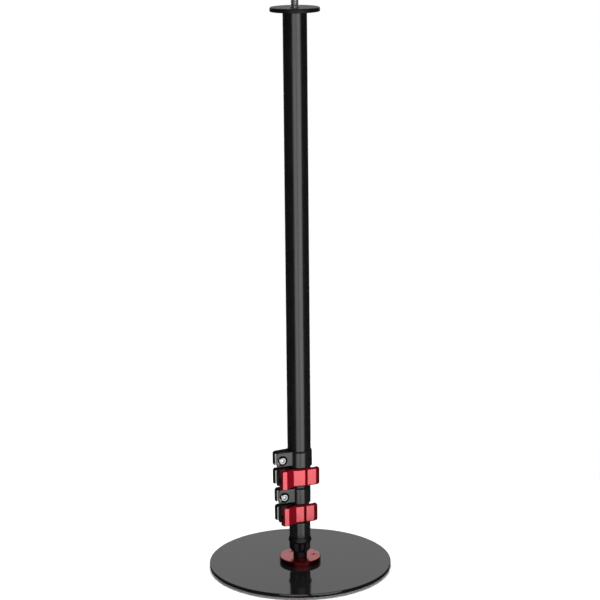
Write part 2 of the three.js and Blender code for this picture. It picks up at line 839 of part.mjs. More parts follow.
function makePlug() {
  const radius = upperTubeDiameter / 2 - tubeWall - seatGap;
  const bore = cameraScrewDiameter / 2 + seatGap;
  return turned([
    [bore, columnTop - plugLength],
    [radius - plugBevel, columnTop - plugLength],
    [radius, columnTop - plugLength + plugBevel],
    [radius, columnTop],
    [bore, columnTop],
  ], tubeFacets);
}

function makeCameraPlate() {
  const radius = plateDiameter / 2;
  const bore = cameraScrewDiameter / 2 + seatGap;
  const top = columnTop + plateThickness;
  return turned([
    [bore, columnTop],
    [radius - plateBevel, columnTop],
    [radius, columnTop + plateBevel],
    [radius, top - plateBevel],
    [radius - plateBevel, top],
    [bore, top],
  ], wideFacets);
}

function makeCameraScrew() {
  const radius = cameraScrewDiameter / 2;
  const top = columnTop + plateThickness + cameraScrewStand;
  return turned([
    [0, columnTop - cameraScrewBurial],
    [radius, columnTop - cameraScrewBurial],
    [radius, top - cameraScrewBevel],
    [radius - cameraScrewBevel, top],
    [0, top],
  ], smallFacets);
}

const upperSection = new THREE.Group();
upperSection.add(
  piece('upper_tube', makeTube(upperTubeDiameter, upperTubeFoot, columnTop, false), blackAluminium),
  placedLock(makeLock('upper_lock', upperTubeDiameter, middleTubeDiameter), upperLockTop),
  piece('top_plug', makePlug(), blackPlastic),
  piece('camera_plate', makeCameraPlate(), blackAluminium),
  piece('camera_screw', makeCameraScrew(), brightSteel),
);

const stand = new THREE.Group();
stand.add(base, middleSection, upperSection);

export default stand;
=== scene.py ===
"""Looks of a small telescopic camera monopod on a round base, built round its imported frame.

Every piece is made in the frame's own coordinates, in millimetres that are turned into metres
when a mesh is made. Each sub-assembly is a class, and each finish is a member of Look.
"""

import json
import logging
from dataclasses import dataclass
from enum import Enum
from math import acos, cos, hypot, pi, radians, sin, sqrt, tau
from typing import Callable, Sequence

import bmesh
import bpy
from mathutils import Matrix, Vector


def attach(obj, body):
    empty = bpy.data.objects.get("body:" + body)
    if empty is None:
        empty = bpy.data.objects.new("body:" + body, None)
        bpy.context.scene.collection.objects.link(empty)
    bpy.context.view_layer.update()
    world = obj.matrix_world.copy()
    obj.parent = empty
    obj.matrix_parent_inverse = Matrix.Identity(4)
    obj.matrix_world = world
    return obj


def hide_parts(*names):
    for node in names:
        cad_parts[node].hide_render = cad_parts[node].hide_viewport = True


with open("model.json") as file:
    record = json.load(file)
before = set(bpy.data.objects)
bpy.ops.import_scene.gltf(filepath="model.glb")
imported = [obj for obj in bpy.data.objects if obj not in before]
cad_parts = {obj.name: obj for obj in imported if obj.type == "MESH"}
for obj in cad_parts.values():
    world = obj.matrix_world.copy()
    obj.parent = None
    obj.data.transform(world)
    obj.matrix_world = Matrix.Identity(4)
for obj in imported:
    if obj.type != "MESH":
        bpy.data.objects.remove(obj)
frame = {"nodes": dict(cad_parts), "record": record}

MM = 0.001
MERGE = 1e-7
ON_AXIS = 1e-6
LOG = logging.getLogger("monopod")

Point2 = tuple[float, float]
Point3 = tuple[float, float, float]
Outline = list[Point2]
Colour = tuple[float, float, float]
Solid = bpy.types.Object
Face = bpy.types.MeshPolygon
Socket = bpy.types.NodeSocket
Value = Socket | float | tuple[float, ...]
Inputs = dict[str | int, Value]

WHITE = (1.0, 1.0, 1.0, 1.0)
LAID_ALONG_Y = Matrix.Rotation(-pi / 2, 4, "X")


# Mesh tools


def mesh_object(vertices: Sequence[Point3], faces: Sequence[Sequence[int]]) -> Solid:
    """Makes a linked mesh object with its faces pointing out.

    Args:
        vertices: corners in millimetres.
        faces: corner numbers of each face.

    Returns:
        The new object, its mesh in metres.
    """
    mesh = bpy.data.meshes.new("solid")
    mesh.from_pydata([(x * MM, y * MM, z * MM) for x, y, z in vertices], [], faces)
    work = bmesh.new()
    work.from_mesh(mesh)
    bmesh.ops.remove_doubles(work, verts=work.verts, dist=MERGE)
    bmesh.ops.recalc_face_normals(work, faces=work.faces)
    work.to_mesh(mesh)
    work.free()
    obj = bpy.data.objects.new("solid", mesh)
    bpy.context.scene.collection.objects.link(obj)
    return obj


def polar(radius: float, angle: float, centre: Point2 = (0.0, 0.0)) -> Point2:
    """The point at a radius and an angle in radians from a centre."""
    return centre[0] + radius * cos(angle), centre[1] + radius * sin(angle)


def arc(centre: Point2, radius: float, start: float, end: float, steps: int) -> Outline:
    """Points along an arc, both ends included, its angles in radians."""
    return [polar(radius, start + (end - start) * i / steps, centre) for i in range(steps + 1)]


def hexagon(across_flats: float, turn: float = 0.0) -> Outline:
    """Corners of a hexagon, the first one at an angle in radians."""
    radius = across_flats / 2 / cos(pi / 6)
    return [polar(radius, turn + tau * i / 6) for i in range(6)]


def round_corner(
    corner: Point2, towards: Point2, away: Point2, radius: float, steps: int = 4
) -> Outline:
    """Rounds a square corner between two unit directions.

    Args:
        corner: the sharp corner.
        towards: unit direction from the corner back along the line that arrives.
        away: unit direction from the corner along the line that leaves.
        radius: the rounding's radius.
        steps: how many chords it has.

    Returns:
        The points that take the corner's place, in order.
    """
    cx = corner[0] + radius * (towards[0] + away[0])
    cy = corner[1] + radius * (towards[1] + away[1])
    points = []
    for i in range(steps + 1):
        t = pi / 2 * i / steps
        points.append((
            cx - radius * (away[0] * cos(t) + towards[0] * sin(t)),
            cy - radius * (away[1] * cos(t) + towards[1] * sin(t)),
        ))
    return points


def lathe(outline: Sequence[Point2], steps: int = 96) -> Solid:
    """Turns a closed outline about Z.

    Args:
        outline: (radius, height) points in millimetres.
        steps: how many steps make a turn.

    Returns:
        The solid.
    """
    vertices, rings, faces = [], [], []
    for radius, height in outline:
        count = 1 if radius < ON_AXIS else steps
        rings.append(range(len(vertices), len(vertices) + count))
        vertices += [(*polar(radius, tau * i / steps), height) for i in range(count)]
    for one, two in zip(rings, rings[1:] + rings[:1]):
        if len(one) == 1 and len(two) == 1:
            continue
        for i in range(steps):
            j = (i + 1) % steps
            corners = [one[i % len(one)], one[j % len(one)], two[j % len(two)], two[i % len(two)]]
            faces.append(list(dict.fromkeys(corners)))
    return mesh_object(vertices, faces)


def rod(radius: float, low: float, high: float, bevel: float = 0.0, steps: int = 64) -> Solid:
    """A plain or bevelled upright cylinder.

    Args:
        radius: its radius in millimetres.
        low: height of its lower end.
        high: height of its upper end.
        bevel: width of the bevel at both ends.
        steps: how many steps make a turn.

    Returns:
        The solid.
    """
    if bevel <= 0:
        return lathe([(0, low), (radius, low), (radius, high), (0, high)], steps)
    outline = [(0, low)] + round_corner((radius, low), (-1, 0), (0, 1), bevel)
    outline += round_corner((radius, high), (0, -1), (-1, 0), bevel) + [(0, high)]
    return lathe(outline, steps)


def walls(count: int, start: int = 0) -> list[list[int]]:
    """The faces between two rings of corners that follow each other."""
    sides = [(start + i, start + (i + 1) % count) for i in range(count)]
    return [[i, j, j + count, i + count] for i, j in sides]


def prism(outline: Sequence[Point2], low: float, high: float) -> Solid:
    """Raises a plan outline from one height to another, in millimetres."""
    count = len(outline)
    vertices = [(x, y, z) for z in (low, high) for x, y in outline]
    ends = [list(range(count))[::-1], list(range(count, 2 * count))]
    return mesh_object(vertices, ends + walls(count))


def block(low: Point3, high: Point3) -> Solid:
    """A box between two corners."""
    plan = [(low[0], low[1]), (high[0], low[1]), (high[0], high[1]), (low[0], high[1])]
    return prism(plan, low[2], high[2])


def stack(levels: Sequence[float], outlines: Sequence[Outline]) -> Solid:
    """Joins plan outlines, each with the same count of points, one above the other.

    Args:
        levels: height of each outline, from low to high.
        outlines: the outlines.

    Returns:
        The solid, closed by a flat face at each end.
    """
    count, top = len(outlines[0]), len(levels) - 1
    vertices = [(x, y, level) for level, outline in zip(levels, outlines) for x, y in outline]
    faces = [list(range(count))[::-1]]
    for start in range(0, top * count, count):
        faces += walls(count, start)
    faces.append([top * count + i for i in range(count)])
    return mesh_object(vertices, faces)


def surface(rows: Sequence[float], steps: int, radius_at: Callable[[float, float], float]) -> Solid:
    """A closed solid whose radius depends on the angle and the height.

    Args:
        rows: heights of its rings, from low to high.
        steps: how many points each ring has.
        radius_at: gives the radius for an angle in radians and a height.

    Returns:
        The solid.
    """
    angles = [tau * i / steps for i in range(steps)]
    return stack(rows, [[polar(radius_at(a, height), a) for a in angles] for height in rows])


def settle(obj: Solid) -> Solid:
    """Applies an object's modifiers to its mesh."""
    bpy.context.view_layer.update()
    evaluated = obj.evaluated_get(bpy.context.evaluated_depsgraph_get())
    mesh = bpy.data.meshes.new_from_object(evaluated)
    old = obj.data
    obj.modifiers.clear()
    obj.data = mesh
    bpy.data.meshes.remove(old)
    return obj


def combine(target: Solid, tools: Sequence[Solid], how: str = "DIFFERENCE") -> Solid:
    """Joins, cuts or keeps the overlap of solids.

    Args:
        target: the solid that changes.
        tools: the solids that it is combined with, which are removed.
        how: UNION, DIFFERENCE or INTERSECT.

    Returns:
        The changed target.
    """
    for tool in tools:
        modifier = target.modifiers.new("combine", "BOOLEAN")
        modifier.operation = how
        modifier.solver = "EXACT"
        modifier.object = tool
    settle(target)
    for tool in tools:
        bpy.data.objects.remove(tool, do_unlink=True)
    return target


def split(obj: Solid, point: Point3, normal: Point3) -> None:
    """Splits the faces that cross a plane, so that each side of it can have its own finish."""
    mesh = bmesh.new()
    mesh.from_mesh(obj.data)
    parts = [*mesh.verts, *mesh.edges, *mesh.faces]
    point = Vector(point) * MM
    bmesh.ops.bisect_plane(mesh, geom=parts, plane_co=point, plane_no=normal, dist=MERGE)
    mesh.to_mesh(obj.data)
    mesh.free()


def soften(obj: Solid, width: float, segments: int = 3, angle: float = 32.0) -> Solid:
    """Rounds an object's edges.

    Args:
        obj: the object.
        width: the rounding's width in millimetres.
        segments: how many steps it has.
        angle: edges sharper than this many degrees are rounded.

    Returns:
        The same object.
    """
    modifier = obj.modifiers.new("soften", "BEVEL")
    modifier.width = width * MM
    modifier.segments = segments
    modifier.limit_method = "ANGLE"
    modifier.angle_limit = radians(angle)
    modifier.use_clamp_overlap = True
    return settle(obj)


def placed(obj: Solid, matrix: Matrix) -> Solid:
    """Moves an object's mesh, so that the object itself stays at the origin."""
    obj.data.transform(matrix)
    return obj


def shift(x: float, y: float, z: float = 0.0) -> Matrix:
    """A move in millimetres."""
    return Matrix.Translation(Vector((x * MM, y * MM, z * MM)))


# Finishes


class Pattern(Enum):
    """How the detail of a finish is laid out."""

    EVEN = "even"
    STREAKED = "streaked"
    HAMMERED = "hammered"
    BRUSHED = "brushed"


STRETCH = {Pattern.STREAKED: (1.0, 1.0, 0.012), Pattern.BRUSHED: (0.06, 0.06, 1.0)}


@dataclass(frozen=True)
class Detail:
    """How far a colour varies, as a share, and its roughness, and the grain's size and depth."""

    variation: float
    spread: float
    grain: float
    relief: float


@dataclass(frozen=True)
class Finish:
    """One finish, as numbers.

    Args:
        name: the material's name.
        slot: the record's material slot.
        colour: base colour, linear.
        roughness: middle of the roughness.
        detail: its fine detail.
        pattern: how the detail is laid out.
        metallic: how metallic it is, from 0 to 1.
        coat: weight of a clear coat.
        coat_roughness: roughness of the coat.
        specular: level of the mirror reflection, 0.5 as usual.
        wear: how much worn edges lighten.
    """

    name: str
    slot: str
    colour: Colour
    roughness: float
    detail: Detail
    pattern: Pattern = Pattern.EVEN
    metallic: float = 0.0
    coat: float = 0.0
    coat_roughness: float = 0.08
    specular: float = 0.5
    wear: float = 0.0

    # What all finishes have alike: sizes of noise by the grain, shares of noise and their spans
    IOR = 1.5
    BROAD, PITS = 26, 4
    FINE_SHARE, BROAD_SHARE, PIT_SHARE = 0.45, 0.55, 2.0
    COLOUR_SPAN, ROUGH_SPAN, SMOOTHEST = (0.32, 0.68), (0.3, 0.7), 0.02
    WORN_TIMES, WORN_MORE = 2.2, 0.05

    def build(self) -> bpy.types.Material:
        """Makes the node material."""
        material = bpy.data.materials.new(self.name)
        material.use_nodes = True
        graph = Graph(material.node_tree)
        detail, colour, even = self.detail, self.colour, (1.0, 1.0, 1.0)
        height = fine = graph.noise(detail.grain, STRETCH.get(self.pattern, even), 4.0)
        broad = graph.noise(detail.grain * self.BROAD, (1.0, 1.0, 0.4), 3.0)
        blend = graph.math(
            "MULTIPLY_ADD", fine, self.FINE_SHARE, graph.math("MULTIPLY", broad, self.BROAD_SHARE)
        )
        dark = tuple(c * (1 - detail.variation) for c in colour)
        light = tuple(min(1.0, c * (1 + detail.variation)) for c in colour)
        shade = graph.ramp(blend, self.COLOUR_SPAN, (dark, light))
        if self.wear > 0:
            edge = graph.worn_edges(self.wear, broad)
            worn = (*(min(1.0, c * self.WORN_TIMES + self.WORN_MORE) for c in colour), 1.0)
            mixed = {"Factor": edge, "A": shade, "B": worn}
            shade = graph.add("ShaderNodeMix", "Result", mixed, data_type="RGBA")
        low = max(self.SMOOTHEST, self.roughness - detail.spread)
        high = self.roughness + detail.spread
        if self.pattern is Pattern.HAMMERED:
            pits = graph.noise(detail.grain * self.PITS, even, 1.0)
            height = graph.math("MULTIPLY_ADD", pits, self.PIT_SHARE, fine)
        bump = {"Strength": 1.0, "Distance": detail.relief * MM, "Height": height}
        graph.fill(graph.shader(), {
            "Metallic": self.metallic, "IOR": self.IOR, "Specular IOR Level": self.specular,
            "Coat Weight": self.coat, "Coat Roughness": self.coat_roughness, "Base Color": shade,
            "Roughness": graph.span(blend, *self.ROUGH_SPAN, low, high),
            "Normal": graph.add("ShaderNodeBump", "Normal", bump),
        })
        return material


@dataclass
class Graph:
    """Small helpers round a node tree."""

    tree: bpy.types.NodeTree
    place: Socket | None = None

    def shader(self) -> bpy.types.Node:
        """The Principled shader that a material's tree starts with."""
        return next(n for n in self.tree.nodes if n.type == "BSDF_PRINCIPLED")

    def fill(self, node: bpy.types.Node, inputs: Inputs) -> None:
        """Links an input to a socket, or gives it a value, for each of the inputs."""
        for key, value in inputs.items():
            if isinstance(value, Socket):
                self.tree.links.new(value, node.inputs[key])
            else:
                node.inputs[key].default_value = value

    def add(self, kind: str, output: str, inputs: Inputs, **settings: str | bool) -> Socket:
        """Adds a node.

        Args:
            kind: its type.
            output: the output that is wanted.
            inputs: a socket or a value for each input.
            settings: properties of the node.

        Returns:
            The output's socket.
        """
        node = self.tree.nodes.new(kind)
        for name, setting in settings.items():
            setattr(node, name, setting)
        self.fill(node, inputs)
        return node.outputs[output]

    def noise(self, size: float, stretch: Point3, layers: float) -> Socket:
        """Noise in the object's own coordinates.

        Args:
            size: size of a spot in millimetres.
            stretch: how much the coordinates are scaled along each axis.
            layers: how many finer layers it has.

        Returns:
            A value from 0 to 1.
        """
        if self.place is None:
            self.place = self.add("ShaderNodeTexCoord", "Object", {})
        place = self.add("ShaderNodeMapping", "Vector", {"Scale": stretch, "Vector": self.place})
        scale = 1.0 / (size * MM)
        inputs = {"Scale": scale, "Detail": layers, "Vector": place}
        return self.add("ShaderNodeTexNoise", "Fac", inputs)

    def math(self, operation: str, *values: Value) -> Socket:
        """A sum on sockets and numbers."""
        return self.add("ShaderNodeMath", "Value", dict(enumerate(values)), operation=operation)

    def span(self, value: Socket, low: float, high: float, to_low: float, to_high: float) -> Socket:
        """Maps one span of values on another, and stops at its ends."""
        spans = {"From Min": low, "From Max": high, "To Min": to_low, "To Max": to_high}
        return self.add("ShaderNodeMapRange", "Result", {**spans, "Value": value}, clamp=True)

    def ramp(self, value: Socket, places: Sequence[float], colours: Sequence[Colour]) -> Socket:
        """Colours along a ramp with two stops."""
        colour = self.add("ShaderNodeValToRGB", "Color", {"Fac": value})
        for element, place, at_place in zip(colour.node.color_ramp.elements, places, colours):
            element.position = place
            element.color = (*at_place, 1.0)
        return colour

    def worn_edges(self, amount: float, broken: Socket) -> Socket:
        """A mask of outer edges, broken up by noise."""
        edge = self.span(self.add("ShaderNodeNewGeometry", "Pointiness", {}), 0.53, 0.62, 0.0, 1.0)
        return self.math("MULTIPLY", edge, self.span(broken, 0.42, 0.6, 0.0, amount))


FINE_BLACK = (0.005, 0.005, 0.0054)
BRUSHED_BLACK = Detail(0.2, 0.05, 0.35, 0.0015)
PLATED = Detail(0.1, 0.06, 0.3, 0.001)
ANODISED = Detail(0.1, 0.04, 0.22, 0.0015)


class Look(Enum):
    """Every finish on the object, darker copies that paint shade among them; the first with a slot
    is that slot's own.
    """

    GLOSS_BLACK = Finish(
        "gloss_enamel", "gloss_black_steel", (0.006, 0.006, 0.0065), 0.09,
        Detail(0.25, 0.025, 1.6, 0.0012), Pattern.HAMMERED,
    )
    TUBE_BLACK = Finish(
        "satin_anodising", "satin_black_tube", (0.006, 0.006, 0.0066), 0.24,
        Detail(0.25, 0.03, 0.35, 0.0012), Pattern.STREAKED,
    )
    STEM_BLACK = Finish(
        "stem_anodising", "satin_black_tube", FINE_BLACK, 0.42, BRUSHED_BLACK,
        Pattern.BRUSHED, specular=0.2,
    )
    PLATE_BLACK = Finish(
        "plate_anodising", "satin_black_tube", FINE_BLACK, 0.38, BRUSHED_BLACK,
        Pattern.BRUSHED, specular=0.13,
    )
    CAST_BLACK = Finish(
        "casting_paint", "black_casting", (0.009, 0.009, 0.0095), 0.2,
        Detail(0.2, 0.04, 0.28, 0.004), Pattern.HAMMERED, wear=0.25,
    )
    # Painted shade: a darker, rougher copy of the black paint for the collar's tops, tips, slot and
    # recesses.
    CAST_MATT = Finish(
        "casting_painted_shade", "black_casting", (0.004, 0.004, 0.0043), 0.6,
        Detail(0.2, 0.05, 0.28, 0.004), Pattern.HAMMERED, specular=0.12,
    )
    RED = Finish(
        "red_anodising", "red_aluminium", (0.36, 0.001, 0.008), 0.24, ANODISED,
        metallic=0.95, coat=0.6, coat_roughness=0.1, wear=0.15,
    )
    # Painted shade: a darker copy of the red for the flange's sides and holes and the screw
    # sockets.
    RED_DEEP = Finish(
        "red_painted_shade", "red_aluminium", (0.10, 0.0004, 0.004), 0.3, ANODISED,
        metallic=0.95, coat=0.2, coat_roughness=0.15,
    )
    # Painted shade: a darker copy of the lever's red for its edges, groove, end and knuckle side.
    LEVER_EDGE = Finish(
        "lever_painted_shade", "red_aluminium", (0.08, 0.0003, 0.003), 0.5, ANODISED, specular=0.12
    )
    LEVER_RED = Finish(
        "lever_anodising", "red_aluminium", (0.46, 0.001, 0.017), 0.24, ANODISED,
        metallic=0.52, coat=0.85, coat_roughness=0.1, wear=0.15,
    )
    NYLON_BLACK = Finish(
        "moulded_nylon", "black_plastic", (0.010, 0.010, 0.0108), 0.17,
        Detail(0.15, 0.05, 0.2, 0.004), Pattern.HAMMERED,
    )
    RING = Finish(
        "ring_nylon", "black_plastic", FINE_BLACK, 0.42,
        Detail(0.15, 0.05, 0.2, 0.004), Pattern.HAMMERED, specular=0.22,
    )
    WASHER = Finish(
        "blackened_steel", "gloss_black_steel", (0.004, 0.004, 0.0044), 0.55,
        Detail(0.15, 0.06, 0.3, 0.001), specular=0.15,
    )
    STEEL = Finish(
        "bright_plating", "bright_steel", (0.40, 0.405, 0.42), 0.18, PLATED, metallic=1.0
    )
    PIN_STEEL = Finish(
        "oiled_steel", "bright_steel", (0.07, 0.07, 0.075), 0.3, PLATED, metallic=1.0
    )
    SCREW_STEEL = Finish(
        "bare_steel", "bright_steel", (0.75, 0.75, 0.76), 0.4, PLATED, metallic=1.0
    )
    BARE = Finish(
        "sawn_aluminium", "black_casting", (0.86, 0.87, 0.88), 0.45,
        Detail(0.12, 0.06, 0.3, 0.003), Pattern.BRUSHED, metallic=0.1,
    )
    NYLON_PALE = Finish(
        "turned_acetal", "pale_plastic", (0.7, 0.69, 0.66), 0.4, Detail(0.05, 0.05, 0.4, 0.003)
    )
    RUBBER = Finish(
        "pad_rubber", "black_rubber", (0.012, 0.012, 0.012), 0.8,
        Detail(0.2, 0.08, 0.3, 0.01), Pattern.HAMMERED,
    )

    def material(self) -> bpy.types.Material:
        """The finish's material, made once."""
        return bpy.data.materials.get(self.value.name) or self.value.build()

    @classmethod
    def of_slot(cls, slot: str) -> "Look":
        """The finish that a material slot of the record has."""
        return next(finish for finish in cls if finish.value.slot == slot)


def finish_faces(obj: Solid, finishes: Sequence[Look], choose: Callable[[Face], int]) -> Solid:
    """Gives each face of a piece one of several finishes.

    Args:
        obj: the piece.
        finishes: the finishes.
        choose: gives the place of a face's finish in that list.

    Returns:
        The same object.
    """
    for finish in finishes:
        obj.data.materials.append(finish.material())
    for face in obj.data.polygons:
        face.material_index = choose(face)
    return obj


def finished(
    obj: Solid, finish: Look, body: str, node: str, angle: float = 28.0, name: str = ""
) -> Solid:
    """Names and shades a piece, gives it its finish and puts it in a CAD node's place.

    Args:
        obj: the piece, in place.
        finish: its finish.
        body: the CAD body that it rides on.
        node: the CAD node that it stands for.
        angle: edges sharper than this many degrees stay sharp.
        name: the piece's name, otherwise the node's with _fine behind it.

    Returns:
        The same object.
    """
    obj.name = name or f"{node}_fine"
    if not obj.data.materials:
        obj.data.materials.append(finish.material())
    obj.data.shade_smooth()
    obj.data.set_sharp_from_angle(angle=radians(angle))
    modifier = obj.modifiers.new("flat_faces", "WEIGHTED_NORMAL")
    modifier.mode = "FACE_AREA"
    modifier.keep_sharp = True
    settle(obj)
    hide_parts(node)
    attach(obj, body)
    LOG.info("%s: %d faces, rides on %s", obj.name, len(obj.data.polygons), body)
    return obj


# Round base


@dataclass
class RoundBase:
    """The disc, its pads and the screwed flange."""

    body: str = "base"
    disc_radius: float = 110.0
    disc_low: float = 3.0
    disc_top: float = 7.5
    disc_bevel: float = 0.9
    flange_radius: float = 25.0
    flange_top: float = 13.7
    flange_bevel: float = 0.9
    flange_ease: float = 0.25
    centre_hole: float = 4.25
    centre_seat: float = 7.75
    centre_seat_top: float = 7.2
    screw_circle: float = 16.5
    screw_turn: float = radians(8)
    screw_count: int = 3
    screw_radius: float = 2.0
    screw_hole: float = 2.25
    screw_head_radius: float = 3.8
    screw_head_height: float = 2.2
    screw_low: float = 3.1
    socket_width: float = 3.2
    socket_depth: float = 1.7
    socket_turns: Point2 = (0.4, 1.1)
    painted_shade_below: float = 0.4
    pad_radius: float = 7.0
    pad_circle: float = 96.0
    pad_count: int = 6

    def build(self) -> None:
        """Makes every piece of the base."""
        self.disc()
        self.flange()
        self.screws()
        self.pads()

    def screw_places(self) -> Outline:
        """Where the flange's screws stand."""
        turn = tau / self.screw_count
        return [
            polar(self.screw_circle, self.screw_turn + turn * i)
            for i in range(self.screw_count)
        ]

    def disc(self) -> None:
        """The disc, with eased edges and its screw holes."""
        low, top, hole, seat = self.disc_low, self.disc_top, self.centre_hole, self.centre_seat
        outline = [(0.0, low)]
        outline += round_corner((self.disc_radius, low), (-1, 0), (0, 1), self.disc_bevel)
        outline += round_corner((self.disc_radius, top), (0, -1), (-1, 0), self.disc_bevel)
        outline += [(self.flange_radius + 2, top), (0.0, top)]
        cutters = [
            placed(rod(self.screw_hole, low - 1, top + 2, steps=24), shift(x, y))
            for x, y in self.screw_places()
        ]
        cutters.append(lathe([
            (0, -1), (seat, -1), (seat, low),
            (hole, self.centre_seat_top), (hole, top + 1.5), (0, top + 1.5),
        ], 48))
        disc = combine(lathe(outline, 256), cutters)
        finished(disc, Look.GLOSS_BLACK, self.body, "base_disc", name="disc")

    def flange(self) -> None:
        """The red flange, with countersinks."""
        radius, low, top = self.flange_radius, self.disc_top, self.flange_top
        ease, bevel = self.flange_ease, self.flange_bevel
        outline = [(0.0, low), (radius - ease, low), (radius, low + ease)]
        outline += [(radius, top - bevel), (radius - bevel, top), (0.0, top)]
        flange = soften(lathe(outline, 160), 0.14, 2, 25)
        hole, head = self.screw_hole, self.screw_head_radius + 0.25
        cutters = [placed(lathe([
            (0, 0), (hole, 0), (hole, top - self.screw_head_height),
            (head, top), (head, top + 1), (0, top + 1),
        ], 40), shift(x, y)) for x, y in self.screw_places()]
        cutters.append(rod(self.centre_hole, 0, top + 2, steps=40))
        combine(flange, cutters)
        # Painted shade: faces of the flange that do not face up get the darker copy of the red.
        finish_faces(flange, (Look.RED, Look.RED_DEEP), lambda face: int(face.normal.z < 0.5))
        finished(flange, Look.RED, self.body, "base_flange", name="flange")

    def screws(self) -> None:
        """The flange's countersunk screws with hexagon sockets."""
        low, top = self.screw_low, self.flange_top
        head, shank = self.screw_head_radius, self.screw_radius
        first, step = self.socket_turns
        deep = (top - self.painted_shade_below) * MM
        for i, (x, y) in enumerate(self.screw_places()):
            screw = lathe([
                (0, low), (shank - 0.3, low), (shank, low + 0.4),
                (shank, top - self.screw_head_height),
                (head, top - 0.3), (head, top - 0.12), (head - 0.15, top), (0, top),
            ], 48)
            socket = hexagon(self.socket_width, first + step * i)
            combine(screw, [prism(socket, top - self.socket_depth, top + 1)])
            # Painted shade: faces a little below the head's top, the socket's walls and floor among
            # them, get the darker red.
            finish_faces(screw, (Look.RED, Look.RED_DEEP), lambda face: int(face.center.z < deep))
            finished(placed(screw, shift(x, y)), Look.RED, self.body, f"flange_screw_{i + 1}")

    def pads(self) -> None:
        """Rubber pads under the rim."""
        outline = [(0, 0)] + round_corner((self.pad_radius, 0), (-1, 0), (0, 1), 0.5)
        outline += [(self.pad_radius, self.disc_low), (0, self.disc_low)]
        for i in range(self.pad_count):
            angle = pi / self.pad_count + tau * i / self.pad_count
            pad = placed(lathe(outline, 48), shift(*polar(self.pad_circle, angle)))
            finished(pad, Look.RUBBER, self.body, f"foot_pad_{i + 1}")


# Foot


@dataclass
class Foot:
    """The stem, the lobed ring and the socket that the lower tube stands in."""

    body: str = "base"
    ring_body: str = "foot_ring"
    low: float = 13.7
    bore: float = 4.25
    stem_top: float = 19.7
    stem_radius: float = 8.4
    spigot_radius: float = 6.5
    spigot_top: float = 37.7
    spigot_hole: float = 6.75
    ring_low: float = 19.95
    ring_top: float = 38.95
    ring_rows: int = 46
    ring_hole: float = 6.8
    ring_hollow: float = 9.3
    belly: float = 12.8
    foot_radius: float = 9.5
    rim: float = 14.0
    valley: float = 10.4
    lobes: int = 7
    scallop_radius: float = 4.6
    scallop_top: float = 32.75
    skirt_radius: float = 9.0
    slit_half: float = 0.75
    slit_top: float = 33.15
    socket_low: float = 39.2
    socket_top: float = 58.9
    socket_radius: float = 12.8
    tube_seat: float = 43.4
    tube_hole: float = 10.25
    gap: float = 0.25

    def build(self) -> None:
        """Makes every piece of the foot."""
        self.stem()
        self.ring()
        self.socket()

    def stem(self) -> None:
        """The stem on the flange, with its spigot."""
        stem, spigot, top = self.stem_radius, self.spigot_radius, self.stem_top
        outline = [(self.bore, self.low), (stem - 0.2, self.low), (stem, self.low + 0.2)]
        outline += round_corner((stem, top), (0, -1), (-1, 0), 0.6)
        outline += [(spigot, top), (spigot, self.spigot_top - 0.6)]
        outline += [(spigot - 0.6, self.spigot_top), (self.bore, self.spigot_top)]
        finished(lathe(outline), Look.STEM_BLACK, self.body, "foot_stem")

    def blank_radius(self, height: float) -> float:
        """The ring's radius at a height, before its scallops."""
        share = (height - self.ring_low) / (self.ring_top - self.ring_low)
        foot, belly, rim = self.foot_radius, self.belly, self.rim
        stops = [
            (0.0, foot), (0.05, foot + 0.9), (0.12, belly - 1.2), (0.2, belly - 0.35),
            (0.28, belly), (0.66, belly + 0.05), (0.71, rim - 0.25), (0.735, rim),
            (0.775, rim), (0.80, rim - 0.15), (1.0, belly + 0.1),
        ]
        for (a, ra), (b, rb) in zip(stops, stops[1:]):
            if share <= b:
                return ra + (rb - ra) * (share - a) / (b - a)
        return stops[-1][1]

    def ring_radius(self, angle: float, height: float) -> float:
        """The lobed ring's radius at an angle and a height."""
        blank = self.blank_radius(height)
        turn = tau / self.lobes
        off = abs((angle + turn / 2) % turn - turn / 2)
        centre = self.valley + self.scallop_radius
        across = centre * sin(off)
        if across >= self.scallop_radius:
            return blank
        cut = centre * cos(off) - sqrt(self.scallop_radius ** 2 - across ** 2)
        fade = min(1.0, max(0.0, (self.scallop_top + 0.5 - height) / 1.1))
        depth = max(0.0, blank - cut)
        return blank - fade * (sqrt(depth * depth + 0.09) - 0.3 if depth > 0 else 0.0)

    def ring(self) -> None:
        """The lobed ring, hollow round the skirt."""
        low, top, hole, hollow = self.ring_low, self.ring_top, self.ring_hole, self.ring_hollow
        rows = [low + (top - low) * i / self.ring_rows for i in range(self.ring_rows + 1)]
        bore = lathe([
            (0, low - 1), (hole, low - 1), (hole, low + 3),
            (hollow, low + 5.2), (hollow, top + 1), (0, top + 1),
        ], 72)
        ring = combine(surface(rows, 252, self.ring_radius), [bore])
        finished(ring, Look.RING, self.ring_body, "foot_lock_ring", 40)

    def socket(self) -> None:
        """The socket for the lower tube, with its slit skirt."""
        hole, skirt = self.spigot_hole, self.skirt_radius
        radius, tube = self.socket_radius, self.tube_hole
        low, top, ring = self.socket_low, self.socket_top, self.ring_low + self.gap
        outline = [(hole, ring + 3), (self.ring_hole, ring + 3), (skirt, ring + 5.2), (skirt, low)]
        outline += round_corner((radius, low), (-1, 0), (0, 1), 0.6)
        outline += round_corner((radius, top), (0, -1), (-1, 0), 0.8)
        seat, joint = self.tube_seat, self.spigot_top + self.gap
        outline += [(tube + 0.15, top), (tube, top - 0.2), (tube, seat), (0, seat)]
        outline += [(0, joint), (hole, joint)]
        half, far = self.slit_half, self.socket_radius + 7.2
        slits = [block((-x, -y, 15), (x, y, self.slit_top)) for x, y in ((far, half), (half, far))]
        finished(combine(lathe(outline, 112), slits), Look.NYLON_BLACK, self.body, "foot_socket")


# Column


